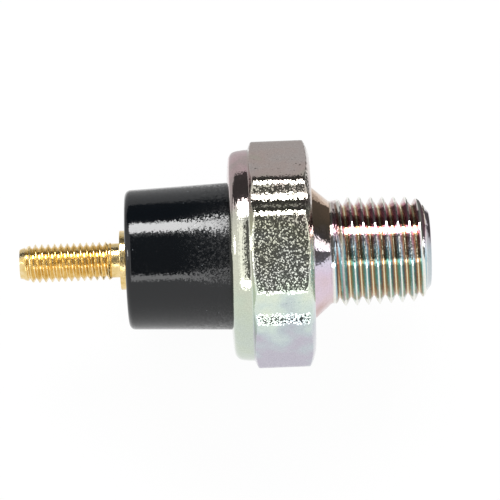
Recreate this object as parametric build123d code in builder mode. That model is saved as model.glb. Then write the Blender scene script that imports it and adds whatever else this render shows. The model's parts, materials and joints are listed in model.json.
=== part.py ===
"""Oil pressure sender with a quarter inch taper pipe thread and one terminal stud.

The axis of the sender is X: the pipe thread points to +X and the terminal to -X.
The origin lies on the axis, in the hexagon's face on the thread side, and +Z is up
with the sender lying on one flat of its hexagon.

Inside, oil pressure bows a metal diaphragm, which lifts a spring loaded pusher. The
pusher swings a bell crank, and the wiper on its long arm slides along a resistance
winding, so the resistance between the terminal and the engine follows the pressure.
"""

import os
from math import asin, cos, degrees, radians, sin, tan

from build123d import *

os.makedirs("parts", exist_ok=True)

# Fits
slide_fit = 0.10  # radial gap of pieces that drop into the housing's cavity
running_fit = 0.05  # radial gap of a pin, a stem or a stud in its hole
contact_gap = 0.05  # what is left open where two moving pieces touch
cut_margin = 1.0  # how far a cutting body stands out past what it cuts

# Housing, hexagon
flat_step = 0.375  # from the rim out to each flat
scoop_radius = 3.0  # the hollow drawn along each corner
scoop_floor_step = 0.03  # from a flat's distance out to the hollow's floor
scoop_edge_fillet = 2.1
corner_turned_step = 0.955  # from a flat's distance out to the turned corners
hex_face_step = 1.395  # from a flat's distance in to the face on the thread side
crown_radius = 6.0  # section of the turned crown on the thread side
crown_depth = 0.98
back_bevel_angle = 22.0

# Housing, rolled rim
rim_wall = 1.92
rim_height = 2.67
rim_edge_radius = 1.3
rim_edge_turn = 80.0
rim_face_rise = 0.24  # how far the domed end of the rim stands out past its edge
rim_lip = 0.97
lip_gap = 0.12

# Housing, neck and pipe thread
cone_base_radius = 8.3
neck_radius = 6.38
neck_distance = 2.23
run_up = 0.95  # axial length from the neck to the first full crest
nose_distance = 14.6
nose_crest_radius = 6.44
nose_face_radius = 4.56
nose_bevel = 1.05  # axial length of the steep bevel next to the face
nose_bevel_rise = 1.29
nose_lead = 0.95  # axial length of the gentler lead between the bevel and the thread
taper = 1 / 32  # change of radius along the axis

# Pressure side
port_radius = 1.6
port_bevel = 0.5
floor_thickness = 1.8
chamber_depth = 0.7
restrictor_length = 3.2
restrictor_chamfer = 0.16
orifice_radius = 0.4

# Stack that the rolled rim clamps, from the seat towards the terminal
seal_thickness = 0.6
seal_step = 0.2  # from the chamber's wall back to the seal's bore
support_step = 0.3  # from the seal's bore back to the support ring's
diaphragm_thickness = 0.2
roll_width = 3.0
roll_flank = 0.8
roll_height = 0.5
roll_step = 1.0  # from the roll out to the chamber's wall
support_ring_height = 2.2
plate_thickness = 1.0
gasket_thickness = 0.6
gasket_step = 0.27  # from the cap's bore back to the gasket's
flange_thickness = 2.2

# Pusher, its spring and the plate's dome around them
stem_radius = 1.5
stem_tip_radius = 0.8
stem_rise = 0.4  # from the dome's top to the stem's shoulder, at rest
tip_length = 0.8
tip_bevel = 0.5  # length of the point that keeps clear of the leaning lever
tip_flat_radius = 0.15
pusher_travel = 1.0
spring_wire = 0.5
spring_stem_gap = 0.85
spring_dome_gap = 0.45
spring_turns = 3.5
pad_thickness = 0.8
pad_step = 0.75  # from the spring out to the pad's edge
pad_roll_gap = 0.8  # from the pad's edge out to the diaphragm's roll
dome_wall = 0.8
dome_depth = 2.9
dome_bevel = 0.6

# Bracket, pivot and bell crank
bracket_gauge = 0.6
bracket_gap = 0.2  # between the dome and the bracket
leg_end_margin = 1.95  # metal beyond the pivot's hole
leg_side_margin = 1.05
bracket_tongue_half = 1.5
foot_half_width = 1.6
rivet_radius = 0.55
rivet_head_radius = 0.95
rivet_head = 0.4
pin_radius = 0.6
pin_head_radius = 0.95
pin_head = 0.3
short_arm = 2.6
nose_radius = 0.6
long_arm = 6.0
lever_thickness = 1.0
lever_arm_half = 0.8
lever_tip_half = 0.55
lever_tip_gap = 0.7  # the arm's plate ends this far before the wiper's contact
hub_radius = 1.2
hub_end_gap = 0.15
hinge_wire = 0.3
hinge_turns = 2.5
hinge_pitch = 0.4
hinge_leg = 2.6

# Wiper
wiper_gauge = 0.2
wiper_half_width = 0.5
wiper_root = 3.0
wiper_foot = 1.5
wiper_overhang = 0.35
wiper_button = 0.3
wiper_rivet_radius = 0.3
wiper_rivet_head_radius = 0.5
wiper_rivet_head = 0.2

# Resistance element
former_thickness = 1.0
former_width = 2.5
wiper_reach = 1.4  # from the lever to the former
winding_lead = 1.3  # winding below the wiper's rest position
winding_run_out = 1.19  # winding above the wiper's last position
wire_diameter = 0.12
wire_turns = 16
turn_share = 0.6  # of the pitch that one turn takes
clip_gauge = 0.15
clip_height = 0.7
tenon_width = 1.3

# Insulating cap
cap_foot_gap = 0.347  # between the bracket's feet and the cap's bore
cap_wall = 1.7
cap_draft = 0.48
cap_edge_fillet = 0.75
cap_front_wall = 1.6
flange_width = 1.97
boss_radius = 4.0
boss_height = 1.0

# Terminal stud
collar_radius = 3.68
collar_thickness = 0.85
shank_radius = 2.13
shank_length = 1.05
seat_relief = 0.1  # depth of the turned relief at the foot of the shank
stud_thread_radius = 2.39
stud_thread_length = 11.4
stud_lead_in = 0.3
stud_point_length = 1.6
stud_point_radius = 1.8
tail_radius = 1.4
peen_radius = 2.0
peen_height = 0.5
tail_gap = 0.41  # between the peened tail and the resistance element
washer_thickness = 0.5
washer_radius = 3.0
strap_gauge = 0.3
strap_half_width = 1.1

# Planes along the axis, from the pressure side to the terminal
floor_x = -floor_thickness
seat_x = floor_x - chamber_depth
diaphragm_x = seat_x - seal_thickness
support_x = diaphragm_x - diaphragm_thickness
plate_x = support_x - support_ring_height
gasket_x = plate_x - plate_thickness
flange_x = gasket_x - gasket_thickness
lip_x = flange_x - flange_thickness
rim_face_x = lip_x - rim_lip
hex_back_x = rim_face_x + rim_height

# Mechanism, from the diaphragm up
pad_x = support_x - pad_thickness
dome_x = plate_x - dome_depth
shoulder_x = dome_x - dome_wall - stem_rise
stem_tip_x = shoulder_x - tip_length
lever_swing = 2 * asin(pusher_travel / 2 / short_arm)
half_swing = lever_swing / 2
pivot_x = stem_tip_x - contact_gap - nose_radius - short_arm * sin(half_swing)
pivot_z = short_arm * cos(half_swing)
contact_x = pivot_x - long_arm * cos(half_swing)
track_start_z = pivot_z - long_arm * sin(half_swing)
former_face = lever_thickness / 2 + wiper_reach

# The front of the cap clears the peened tail, and the tail clears the resistance element
peen_x = contact_x - former_width / 2 - tail_gap
washer_x = peen_x - peen_height
strap_x = washer_x - washer_thickness
boss_x = strap_x - strap_gauge
cap_inner_x = boss_x - boss_height
cap_front_x = cap_inner_x - cap_front_wall
collar_x = cap_front_x - collar_thickness

# Radii, each around the last: stem, spring, dome, bracket, cap, rim and hexagon
spring_mean_radius = stem_radius + spring_stem_gap + spring_wire / 2
spring_outer_radius = spring_mean_radius + spring_wire / 2
dome_bore = spring_outer_radius + spring_dome_gap
bracket_inner_half = dome_bore + dome_wall + bracket_gap
bracket_half = bracket_inner_half + bracket_gauge
foot_reach = 2 * rivet_head_radius + slide_fit
cap_bore = Vector(bracket_half + foot_reach, foot_half_width).length + cap_foot_gap
cap_base_radius = cap_bore + cap_wall
cap_front_radius = cap_base_radius - cap_draft
stack_radius = cap_base_radius + flange_width
cavity_radius = stack_radius + slide_fit
rim_radius = cavity_radius + rim_wall
flat_distance = rim_radius + flat_step

# Radii of the pressure side, around the pusher's pad
pad_radius = spring_outer_radius + pad_step
roll_inner_radius = pad_radius + pad_roll_gap
roll_outer_radius = roll_inner_radius + roll_width
chamber_radius = roll_outer_radius + roll_step
seal_inner_radius = chamber_radius + seal_step
support_ring_bore = seal_inner_radius + support_step

# Axes of the bell crank at rest: along its long arm and along its short arm
arm_direction = Vector(-cos(half_swing), 0, -sin(half_swing))
nose_direction = Vector(sin(half_swing), 0, -cos(half_swing))
pivot = Vector(pivot_x, 0, pivot_z)


def crest_radius(x):
    """Radius of the tapered nose over the thread's crests at a place on the axis."""
    return nose_crest_radius + (nose_distance - x) * taper


# Housing: hexagon, rolled rim, cone and threaded nose are one steel turning
nose_bevel_x = nose_distance - nose_bevel
lead_x = nose_bevel_x - nose_lead
hex_face_radius = flat_distance - hex_face_step
corner_turned_radius = flat_distance + corner_turned_step
bevel_depth = (corner_turned_radius - rim_radius) * tan(radians(back_bevel_angle))
edge_length = rim_edge_radius * sin(radians(rim_edge_turn))
rim_start = (rim_face_x + rim_face_rise + edge_length, rim_radius)
lip_radius = cap_base_radius + lip_gap

with BuildPart() as housing:
    with BuildSketch(Plane.XY):
        with BuildLine():
            Polyline(
                (rim_face_x, 0),
                (nose_distance, 0),
                (nose_distance, nose_face_radius),
                (nose_bevel_x, nose_face_radius + nose_bevel_rise),
                (lead_x, crest_radius(lead_x)),
                (neck_distance + run_up, crest_radius(neck_distance + run_up)),
                (neck_distance, neck_radius),
                (0, cone_base_radius),
                (0, hex_face_radius),
            )
            RadiusArc((0, hex_face_radius), (-crown_depth, corner_turned_radius), crown_radius)
            Polyline(
                (-crown_depth, corner_turned_radius),
                (hex_back_x + bevel_depth, corner_turned_radius),
                (hex_back_x, rim_radius),
                rim_start,
            )
            rim_edge = JernArc(rim_start, (-1, 0), rim_edge_radius, rim_edge_turn)
            rim_dome = TangentArc(rim_edge @ 1, (rim_face_x, lip_radius), tangent=rim_edge % 1)
            Line(rim_dome @ 1, (rim_face_x, 0))
        make_face()
    revolve(axis=Axis.X)

    # The hexagon, with a shallow hollow along each of its six corners
    with BuildSketch(Plane.YZ.offset(rim_face_x - cut_margin)):
        RegularPolygon(flat_distance, 6, major_radius=False)
        with PolarLocations(flat_distance + scoop_floor_step + scoop_radius, 6):
            Circle(scoop_radius, mode=Mode.SUBTRACT)
        fillet(vertices(), scoop_edge_fillet)
    extrude(amount=nose_distance - rim_face_x + 2 * cut_margin, mode=Mode.INTERSECT)

    # Cavity, lip of the rolled rim, pressure chamber and port
    with BuildSketch(Plane.XY):
        with BuildLine():
            Polyline(
                (rim_face_x, 0),
                (rim_face_x, lip_radius),
                (lip_x, lip_radius),
                (lip_x, cavity_radius),
                (seat_x, cavity_radius),
                (seat_x, chamber_radius),
                (floor_x, chamber_radius),
                (floor_x, port_radius),
                (nose_distance - port_bevel, port_radius),
                (nose_distance, port_radius + port_bevel),
                (nose_distance, 0),
                close=True,
            )
        make_face()
    revolve(axis=Axis.X, mode=Mode.SUBTRACT)

housing.part.label = "housing"
export_step(housing.part, "parts/housing.step")

# Restrictor pressed into the port, which damps the pulses of the oil pump
with BuildPart() as port_restrictor:
    with BuildSketch(Plane.YZ.offset(-floor_thickness / 2)):
        Circle(port_radius)
        Circle(orifice_radius, mode=Mode.SUBTRACT)
    extrude(amount=restrictor_length)
    chamfer(edges().filter_by(GeomType.CIRCLE).group_by(SortBy.RADIUS)[-1], restrictor_chamfer)
port_restrictor.part.label = "port_restrictor"
export_step(port_restrictor.part, "parts/port_restrictor.step")


# Rings and discs of the clamped stack


def washer(x, thickness, outer, inner):
    """A flat ring from a plane on the axis towards the terminal."""
    with BuildPart() as ring:
        with BuildSketch(Plane.YZ.offset(x)):
            Circle(outer)
            Circle(inner, mode=Mode.SUBTRACT)
        extrude(amount=-thickness)
    return ring.part


with BuildPart() as diaphragm_seal:
    add(washer(seat_x, seal_thickness, stack_radius, seal_inner_radius))
diaphragm_seal.part.label = "diaphragm_seal"
export_step(diaphragm_seal.part, "parts/diaphragm_seal.step")

with BuildPart() as support_ring:
    add(washer(support_x, support_ring_height, stack_radius, support_ring_bore))
support_ring.part.label = "support_ring"
export_step(support_ring.part, "parts/support_ring.step")

with BuildPart() as cap_gasket:
    add(washer(gasket_x, gasket_thickness, stack_radius, cap_bore + gasket_step))
cap_gasket.part.label = "cap_gasket"
export_step(cap_gasket.part, "parts/cap_gasket.step")

# Diaphragm: a thin disc with one pressed convolution around its flat middle
with BuildPart() as diaphragm:
    with BuildSketch(Plane.XY):
        with BuildLine():
            for x in (diaphragm_x, support_x):
                Polyline(
                    (x, 0),
                    (x, roll_inner_radius),
                    (x + roll_height, roll_inner_radius + roll_flank),
                    (x + roll_height, roll_outer_radius - roll_flank),
                    (x, roll_outer_radius),
                    (x, stack_radius),
                )
            Line((diaphragm_x, stack_radius), (support_x, stack_radius))
            Line((diaphragm_x, 0), (support_x, 0))
        make_face()
    revolve(axis=Axis.X)
diaphragm.part.label = "diaphragm"
export_step(diaphragm.part, "parts/diaphragm.step")

# Base plate: a stamped disc whose drawn dome holds the spring and guides the pusher
rivet_y = bracket_half + foot_reach / 2
stem_hole_radius = stem_radius + running_fit

with BuildPart() as base_plate:
    with BuildSketch(Plane.XY):
        with BuildLine():
            Polyline(
                (plate_x, stack_radius),
                (gasket_x, stack_radius),
                (gasket_x, dome_bore + dome_wall),
                (dome_x - dome_wall, dome_bore + dome_wall),
                (dome_x - dome_wall, stem_hole_radius),
                (dome_x, stem_hole_radius),
                (dome_x, dome_bore),
                (plate_x, dome_bore),
                close=True,
            )
        make_face()
        dome_corners = vertices().group_by(Axis.Y)[1:3]
        outer_corner = dome_corners[1].sort_by(Axis.X)[0]
        inner_corner = dome_corners[0].sort_by(Axis.X)[0]
        chamfer(outer_corner, dome_bevel + dome_wall / 2)
        chamfer(inner_corner, dome_bevel)
    revolve(axis=Axis.X)
    with Locations(Plane.YZ.offset(gasket_x)):
        with Locations((rivet_y, 0), (-rivet_y, 0)):
            Hole(rivet_radius)
base_plate.part.label = "base_plate"
export_step(base_plate.part, "parts/base_plate.step")

# Pusher: its pad rests on the diaphragm and its stem runs in the dome
with BuildPart() as pusher:
    with BuildSketch(Plane.XY):
        with BuildLine():
            Polyline(
                (support_x, 0),
                (support_x, pad_radius),
                (pad_x, pad_radius),
                (pad_x, stem_radius),
                (shoulder_x, stem_radius),
                (shoulder_x, stem_tip_radius),
                (stem_tip_x + tip_bevel, stem_tip_radius),
                (stem_tip_x, tip_flat_radius),
                (stem_tip_x, 0),
                close=True,
            )
        make_face()
    revolve(axis=Axis.X)
pusher.part.label = "pusher"
export_step(pusher.part, "parts/pusher.step")

# Return spring around the stem, between the pad and the dome
spring_room = pad_x - dome_x
spring_pitch = (spring_room - spring_wire - 2 * contact_gap) / spring_turns

with BuildPart() as return_spring:
    coil = Edge.make_helix(
        spring_pitch,
        spring_turns * spring_pitch,
        spring_mean_radius,
        (dome_x + spring_wire / 2 + contact_gap, 0, 0),
        (1, 0, 0),
    )
    with BuildSketch(Plane(coil @ 0, x_dir=(1, 0, 0), z_dir=coil % 0)):
        RegularPolygon(spring_wire / 2, 6)
    sweep(path=coil, is_frenet=True)
return_spring.part.label = "return_spring"
export_step(return_spring.part, "parts/return_spring.step")

# Bracket: a folded channel that stands on the plate, open on the wiper's side
bracket_floor_z = -bracket_inner_half
bracket_leg_top = pivot_z + pin_radius + leg_side_margin
bracket_leg_length = gasket_x - pivot_x + pin_radius + leg_end_margin
tongue_end_x = contact_x - former_width / 2
former_middle_y = former_face + former_thickness / 2

with BuildPart() as lever_bracket:
    with BuildSketch(Plane.YZ.offset(gasket_x)):
        with BuildLine():
            Polyline(
                (-bracket_half, bracket_leg_top),
                (-bracket_half, bracket_floor_z - bracket_gauge),
                (bracket_half, bracket_floor_z - bracket_gauge),
                (bracket_half, bracket_leg_top),
                (bracket_inner_half, bracket_leg_top),
                (bracket_inner_half, bracket_floor_z),
                (-bracket_inner_half, bracket_floor_z),
                (-bracket_inner_half, bracket_leg_top),
                close=True,
            )
        make_face()
    extrude(amount=-bracket_leg_length)
    with BuildSketch(Plane.XY.offset(bracket_floor_z - bracket_gauge)):
        tongue_length = gasket_x - tongue_end_x
        with Locations((gasket_x - tongue_length / 2, former_middle_y)):
            Rectangle(tongue_length, 2 * bracket_tongue_half)
    extrude(amount=bracket_gauge)
    with BuildSketch(Plane.YZ.offset(gasket_x)):
        with Locations((rivet_y, 0), (-rivet_y, 0)):
            Rectangle(foot_reach, 2 * foot_half_width)
    extrude(amount=-bracket_gauge)
    with BuildSketch(Plane.XZ.offset(-bracket_half)):
        with Locations((pivot_x, pivot_z)):
            Circle(pin_radius)
    extrude(amount=2 * bracket_half, mode=Mode.SUBTRACT)
    with Locations(Plane.YZ.offset(gasket_x - bracket_gauge)):
        with Locations((rivet_y, 0), (-rivet_y, 0)):
            Hole(rivet_radius, depth=bracket_gauge)
    with BuildSketch(Plane.XY.offset(bracket_floor_z)):
        with Locations((contact_x, former_middle_y)):
            Rectangle(tenon_width + 2 * running_fit, former_thickness + 2 * running_fit)
    extrude(amount=-bracket_gauge, mode=Mode.SUBTRACT)
lever_bracket.part.label = "lever_bracket"
export_step(lever_bracket.part, "parts/lever_bracket.step")

with BuildPart() as bracket_rivets:
    rivet_span = plate_thickness + bracket_gauge
    for side in (1, -1):
        with BuildSketch(Plane((plate_x, side * rivet_y, 0), z_dir=(-1, 0, 0))):
            Circle(rivet_radius)
        extrude(amount=rivet_span)
        with BuildSketch(Plane((plate_x, side * rivet_y, 0), z_dir=(1, 0, 0))):
            Circle(rivet_head_radius)
        extrude(amount=rivet_head)
        with BuildSketch(Plane((plate_x - rivet_span, side * rivet_y, 0), z_dir=(-1, 0, 0))):
            Circle(rivet_head_radius)
        extrude(amount=rivet_head)
bracket_rivets.part.label = "bracket_rivets"
export_step(bracket_rivets.part, "parts/bracket_rivets.step")

with BuildPart() as pivot_pin:
    with BuildSketch(Plane.XZ.offset(-bracket_half - pin_head)):
        with Locations((pivot_x, pivot_z)):
            Circle(pin_radius)
    extrude(amount=2 * (bracket_half + pin_head))
    for start in (-bracket_half - pin_head, bracket_half):
        with BuildSketch(Plane.XZ.offset(start)):
            with Locations((pivot_x, pivot_z)):
                Circle(pin_head_radius)
        extrude(amount=pin_head)
pivot_pin.part.label = "pivot_pin"
export_step(pivot_pin.part, "parts/pivot_pin.step")

# Lever: a bell crank with a long hub between the bracket's legs. In its own plane
# u runs out along the long arm and v out along the short arm.
lever_plane = Plane(pivot, x_dir=arm_direction, z_dir=arm_direction.cross(nose_direction))
hub_half = bracket_inner_half - hub_end_gap
arm_plate_end = long_arm - lever_tip_gap

with BuildPart() as lever:
    with BuildSketch(lever_plane):
        with BuildLine():
            Polyline(
                (0, -lever_arm_half),
                (arm_plate_end, -lever_tip_half),
                (arm_plate_end, lever_tip_half),
                (0, lever_arm_half),
                close=True,
            )
        make_face()
        with Locations((0, short_arm / 2)):
            Rectangle(2 * nose_radius, short_arm)
        with Locations((0, short_arm)):
            Circle(nose_radius)
    extrude(amount=lever_thickness / 2, both=True)
    with BuildSketch(lever_plane):
        Circle(hub_radius)
    extrude(amount=hub_half, both=True)
    with BuildSketch(lever_plane):
        Circle(pin_radius + running_fit)
    extrude(amount=hub_half, both=True, mode=Mode.SUBTRACT)
    with BuildSketch(lever_plane.offset(-lever_thickness / 2)):
        with Locations((wiper_root + wiper_foot / 2, 0)):
            Circle(wiper_rivet_radius)
    extrude(amount=lever_thickness, mode=Mode.SUBTRACT)
lever.part.label = "lever"
export_step(lever.part, "parts/lever.step")

# Wiper: a spring strip riveted on the long arm, bent out to touch the winding
wiper_plane = Plane(pivot, x_dir=arm_direction, z_dir=nose_direction)
winding_face = former_face - wire_diameter
wiper_low = lever_thickness / 2
wiper_high = winding_face - contact_gap - wiper_button - wiper_gauge / 2
bend_start = wiper_root + wiper_foot
bend_end = long_arm - 2 * wiper_button

with BuildPart() as wiper:
    with BuildSketch(wiper_plane):
        with BuildLine():
            Polyline(
                (wiper_root, wiper_low),
                (bend_start, wiper_low),
                (bend_end, wiper_high),
                (long_arm + wiper_overhang, wiper_high),
                (long_arm + wiper_overhang, wiper_high + wiper_gauge),
                (bend_end - wiper_gauge / 2, wiper_high + wiper_gauge),
                (bend_start - wiper_gauge / 2, wiper_low + wiper_gauge),
                (wiper_root, wiper_low + wiper_gauge),
                close=True,
            )
        make_face()
        with Locations((long_arm, winding_face - contact_gap - wiper_button)):
            Circle(wiper_button)
    extrude(amount=wiper_half_width, both=True)
    with BuildSketch(lever_plane.offset(-wiper_low)):
        with Locations((wiper_root + wiper_foot / 2, 0)):
            Circle(wiper_rivet_radius)
    extrude(amount=-wiper_gauge, mode=Mode.SUBTRACT)
wiper.part.label = "wiper"
export_step(wiper.part, "parts/wiper.step")

with BuildPart() as wiper_rivet:
    rivet_at = (wiper_root + wiper_foot / 2, 0)
    with BuildSketch(lever_plane.offset(-wiper_low - wiper_gauge)):
        with Locations(rivet_at):
            Circle(wiper_rivet_radius)
    extrude(amount=lever_thickness + wiper_gauge)
    with BuildSketch(lever_plane.offset(-wiper_low - wiper_gauge)):
        with Locations(rivet_at):
            Circle(wiper_rivet_head_radius)
    extrude(amount=-wiper_rivet_head)
    with BuildSketch(lever_plane.offset(lever_thickness / 2)):
        with Locations(rivet_at):
            Circle(wiper_rivet_head_radius)
    extrude(amount=wiper_rivet_head)
wiper_rivet.part.label = "wiper_rivet"
export_step(wiper_rivet.part, "parts/wiper_rivet.step")

# Hinge spring around the hub, which keeps the lever's nose on the pusher
hinge_mean_radius = hub_radius + hinge_wire / 2 + running_fit
hinge_start_y = -lever_thickness / 2 - hinge_wire

with BuildPart() as lever_spring:
    hinge_coil = Edge.make_helix(
        hinge_pitch,
        hinge_turns * hinge_pitch,
        hinge_mean_radius,
        (pivot_x, hinge_start_y, pivot_z),
        (0, -1, 0),
    )
    coil_start = Plane(hinge_coil @ 0, x_dir=(0, -1, 0), z_dir=hinge_coil % 0)
    coil_end = Plane(hinge_coil @ 1, x_dir=(0, -1, 0), z_dir=hinge_coil % 1)
    with BuildSketch(coil_start):
        RegularPolygon(hinge_wire / 2, 6)
    sweep(path=hinge_coil, is_frenet=True)
    with BuildSketch(coil_start):
        RegularPolygon(hinge_wire / 2, 6)
    extrude(amount=-hinge_leg)
    with BuildSketch(coil_end):
        RegularPolygon(hinge_wire / 2, 6)
    extrude(amount=hinge_leg)
lever_spring.part.label = "lever_spring"
export_step(lever_spring.part, "parts/lever_spring.step")

# Resistance element: a flat former with its foot in the bracket's tongue
winding_length = winding_lead + 2 * long_arm * sin(half_swing) + winding_run_out
winding_start_z = track_start_z - winding_lead
former_top_z = winding_start_z + winding_length

with BuildPart() as resistor_former:
    former_height = former_top_z + clip_height - bracket_floor_z
    with BuildSketch(Plane.XY.offset(bracket_floor_z)):
        with Locations((contact_x, former_middle_y)):
            Rectangle(former_width, former_thickness)
    extrude(amount=former_height)
    with BuildSketch(Plane.XY.offset(bracket_floor_z)):
        with Locations((contact_x, former_middle_y)):
            Rectangle(tenon_width, former_thickness)
    extrude(amount=-bracket_gauge)
resistor_former.part.label = "resistor_former"
export_step(resistor_former.part, "parts/resistor_former.step")

# The winding: a thin layer of wire around the former, with its turns standing out
turn_pitch = winding_length / wire_turns
turn_start = (1 - turn_share) / 2

with BuildPart() as resistance_winding:
    with BuildSketch(Plane.XY.offset(winding_start_z)):
        with Locations((contact_x, former_middle_y)):
            Rectangle(former_width + wire_diameter, former_thickness + wire_diameter)
            Rectangle(former_width, former_thickness, mode=Mode.SUBTRACT)
    extrude(amount=winding_length)
    for turn in range(wire_turns):
        turn_z = winding_start_z + (turn + turn_start) * turn_pitch
        with BuildSketch(Plane.XY.offset(turn_z)):
            with Locations((contact_x, former_middle_y)):
                Rectangle(former_width + 2 * wire_diameter, former_thickness + 2 * wire_diameter)
                Rectangle(former_width, former_thickness, mode=Mode.SUBTRACT)
        extrude(amount=turn_pitch * turn_share)
resistance_winding.part.label = "resistance_winding"
export_step(resistance_winding.part, "parts/resistance_winding.step")

with BuildPart() as winding_clip:
    with BuildSketch(Plane.XY.offset(former_top_z)):
        with Locations((contact_x, former_middle_y)):
            Rectangle(former_width + 2 * clip_gauge, former_thickness + 2 * clip_gauge)
    extrude(amount=clip_height + clip_gauge)
    with BuildSketch(Plane.XY.offset(former_top_z)):
        with Locations((contact_x, former_middle_y)):
            Rectangle(former_width, former_thickness)
    extrude(amount=clip_height, mode=Mode.SUBTRACT)
winding_clip.part.label = "winding_clip"
export_step(winding_clip.part, "parts/winding_clip.step")

# Insulating cap: a moulded cup whose flange is held under the rolled rim
shank_hole_radius = shank_radius + running_fit

with BuildPart() as insulating_cap:
    with BuildSketch(Plane.XY):
        with BuildLine():
            Polyline(
                (flange_x, cap_bore),
                (flange_x, stack_radius),
                (lip_x, stack_radius),
                (lip_x, cap_base_radius),
                (rim_face_x, cap_base_radius),
                (cap_front_x, cap_front_radius),
                (cap_front_x, shank_hole_radius),
                (boss_x, shank_hole_radius),
                (boss_x, boss_radius),
                (cap_inner_x, boss_radius),
                (cap_inner_x, cap_front_radius - cap_wall),
                close=True,
            )
        make_face()
        fillet(vertices().group_by(Axis.X)[0].sort_by(Axis.Y)[-1], cap_edge_fillet)
    revolve(axis=Axis.X)
insulating_cap.part.label = "insulating_cap"
export_step(insulating_cap.part, "parts/insulating_cap.step")

# Terminal stud: collar, threaded end and a tail that is peened over inside the cap
stud_thread_x = collar_x - shank_length
stud_end_x = stud_thread_x - stud_thread_length
seat_bore = stud_thread_radius + running_fit

with BuildPart() as terminal_stud:
    with BuildSketch(Plane.XY):
        with BuildLine():
            Polyline(
                (stud_end_x, 0),
                (stud_end_x, stud_point_radius),
                (stud_end_x + stud_point_length, stud_thread_radius),
                (stud_thread_x - stud_lead_in, stud_thread_radius),
                (stud_thread_x, shank_radius),
                (collar_x + seat_relief, shank_radius),
                (collar_x + seat_relief, seat_bore),
                (collar_x, seat_bore),
                (collar_x, collar_radius),
                (cap_front_x, collar_radius),
                (cap_front_x, shank_radius),
                (boss_x, shank_radius),
                (boss_x, tail_radius),
                (washer_x, tail_radius),
                (washer_x, peen_radius),
                (washer_x + peen_height, tail_radius),
                (washer_x + peen_height, 0),
                close=True,
            )
        make_face()
    revolve(axis=Axis.X)
terminal_stud.part.label = "terminal_stud"
export_step(terminal_stud.part, "parts/terminal_stud.step")

with BuildPart() as strap_washer:
    add(washer(washer_x, washer_thickness, washer_radius, tail_radius))
strap_washer.part.label = "strap_washer"
export_step(strap_washer.part, "parts/strap_washer.step")

# Contact strap from the stud's tail to the clip on the winding
clip_z = former_top_z + clip_height / 2
strap_reach = Vector(former_middle_y, clip_z).length
strap_angle = degrees(asin(clip_z / strap_reach))
clip_face_x = contact_x - former_width / 2 - clip_gauge
strap_plane = Plane((strap_x, 0, 0), x_dir=(0, former_middle_y, clip_z), z_dir=(-1, 0, 0))

with BuildPart() as contact_strap:
    with BuildSketch(strap_plane):
        Circle(washer_radius)
        with Locations((strap_reach / 2, 0)):
            Rectangle(strap_reach, 2 * strap_half_width)
        Circle(tail_radius, mode=Mode.SUBTRACT)
    extrude(amount=strap_gauge)
    with BuildSketch(strap_plane):
        with Locations((strap_reach - strap_gauge / 2, 0)):
            Rectangle(strap_gauge, 2 * strap_half_width)
    extrude(amount=strap_x - clip_face_x)
contact_strap.part.label = "contact_strap"
export_step(contact_strap.part, "parts/contact_strap.step")
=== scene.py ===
# %% [markdown]
# # An oil pressure sender
# The sender screws into an engine's oil gallery. Its steel body is turned from hexagon bar and
# zinc plated, a black moulded cap closes the back, and a brass stud takes the gauge's wire.
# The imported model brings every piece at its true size. This lesson gives each one its finish,
# and adds what is too fine for the model: the two screw threads and the softened edges.

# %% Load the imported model
import json
from math import asin, cos, pi, radians, sin, sqrt, tan

import bmesh
import bpy
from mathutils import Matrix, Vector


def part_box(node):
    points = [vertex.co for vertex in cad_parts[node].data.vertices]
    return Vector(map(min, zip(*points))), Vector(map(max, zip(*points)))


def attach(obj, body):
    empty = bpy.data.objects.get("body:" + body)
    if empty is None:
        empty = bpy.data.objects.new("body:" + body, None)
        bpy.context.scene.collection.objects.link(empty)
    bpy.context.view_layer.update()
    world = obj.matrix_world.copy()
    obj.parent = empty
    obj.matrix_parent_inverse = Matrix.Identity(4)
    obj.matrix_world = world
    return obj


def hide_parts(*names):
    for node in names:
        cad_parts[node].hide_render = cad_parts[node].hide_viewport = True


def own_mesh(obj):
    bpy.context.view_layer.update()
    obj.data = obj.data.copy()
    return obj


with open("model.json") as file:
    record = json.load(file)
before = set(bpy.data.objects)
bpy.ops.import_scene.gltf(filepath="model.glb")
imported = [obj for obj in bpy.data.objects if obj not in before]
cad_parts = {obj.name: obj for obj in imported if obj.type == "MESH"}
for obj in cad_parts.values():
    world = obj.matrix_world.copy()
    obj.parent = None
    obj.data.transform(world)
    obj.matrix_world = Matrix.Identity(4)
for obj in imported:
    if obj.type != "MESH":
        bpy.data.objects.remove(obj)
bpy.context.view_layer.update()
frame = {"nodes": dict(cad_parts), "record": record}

# %% [markdown]
# Blender works in metres and a turner works in millimetres, so the sizes below are written in
# millimetres and turned into metres by MM. One small function adds a node to a tree, with its
# settings and its links, because every material, the threads and the spring are built from nodes.

# %% Helpers for nodes, colours and materials
MM = 0.001


def add(tree, kind, values=(), stops=(), **settings):
    """Adds a node. Values go to its inputs by place or by name, and may be other nodes.
    Stops are the places and written colours of a colour ramp."""
    made = tree.nodes.new(kind)
    for name, value in settings.items():
        setattr(made, name, value)
    places = values.items() if isinstance(values, dict) else enumerate(values)
    for place, value in places:
        if isinstance(value, bpy.types.Node):
            value = next(out for out in value.outputs if out.enabled)
        if isinstance(value, bpy.types.NodeSocket):
            tree.links.new(value, made.inputs[place])
        else:
            made.inputs[place].default_value = value
    if stops:
        elements = made.color_ramp.elements
        while len(elements) < len(stops):
            elements.new(0.5)
        for element, (position, written) in zip(elements, stops):
            element.position = position
            element.color = colour(written)
    return made


def colour(written):
    """Turns an sRGB hex value into the linear colour that Blender mixes with."""
    parts = [int(written[i:i + 2], 16) / 255 for i in (0, 2, 4)]
    return [p / 12.92 if p <= 0.04045 else ((p + 0.055) / 1.055) ** 2.4 for p in parts] + [1.0]


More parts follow.
